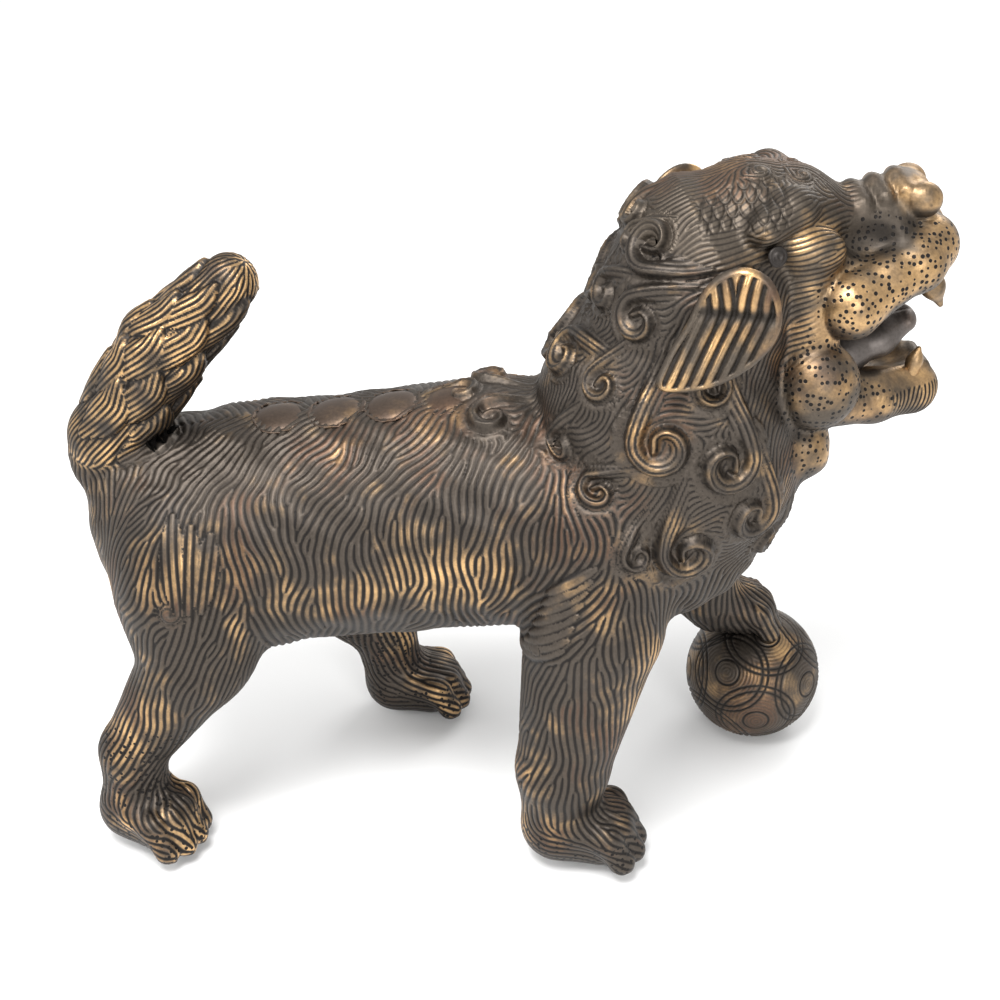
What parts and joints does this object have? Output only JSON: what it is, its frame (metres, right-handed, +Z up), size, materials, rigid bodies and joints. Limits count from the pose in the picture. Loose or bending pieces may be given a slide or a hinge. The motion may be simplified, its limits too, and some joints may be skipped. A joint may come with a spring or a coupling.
{
  "type": "guardian lion statue",
  "caption": "Striding guardian lion statue in patinated bronze with an open mouth, a curled mane, an upright tail and one forepaw on a ball.",
  "frame": {"origin": "on the ground plane, under the middle of the lion's box", "axes": "+X the way the lion walks, +Y its left side, +Z up"},
  "size_m": [0.3213, 0.1498, 0.2738],
  "materials": {
    "patina_bronze": "dark brown patina over cast bronze, rubbed back to metal on the ridges",
    "worn_bronze": "cast bronze with the patina rubbed through to gold",
    "dark_bronze": "smooth cast bronze with a dull grey-brown patina",
    "red_bronze": "smooth cast bronze with a reddish-brown patina",
    "dowel_bronze": "bare drawn bronze rod"
  },
  "bodies": {
    "root": {"torso": "patina_bronze", "mane": "patina_bronze", "face": "worn_bronze", "lower_jaw": "worn_bronze", "tongue": "dark_bronze", "eyes": "dark_bronze", "upper_fangs": "worn_bronze", "lower_fangs": "worn_bronze", "ear_right": "worn_bronze", "ear_left": "worn_bronze", "foreleg_right": "patina_bronze", "foreleg_left": "patina_bronze", "hind_leg_right": "patina_bronze", "hind_leg_left": "patina_bronze", "tail": "patina_bronze", "ball": "patina_bronze", "spine_bosses": "red_bronze", "core_plug": "dowel_bronze", "leg_dowels": "dowel_bronze", "neck_dowels": "dowel_bronze", "face_dowels": "dowel_bronze", "jaw_dowels": "dowel_bronze", "ear_dowels": "dowel_bronze", "tail_dowel": "dowel_bronze", "ball_dowel": "dowel_bronze"}
  },
  "joints": []
}
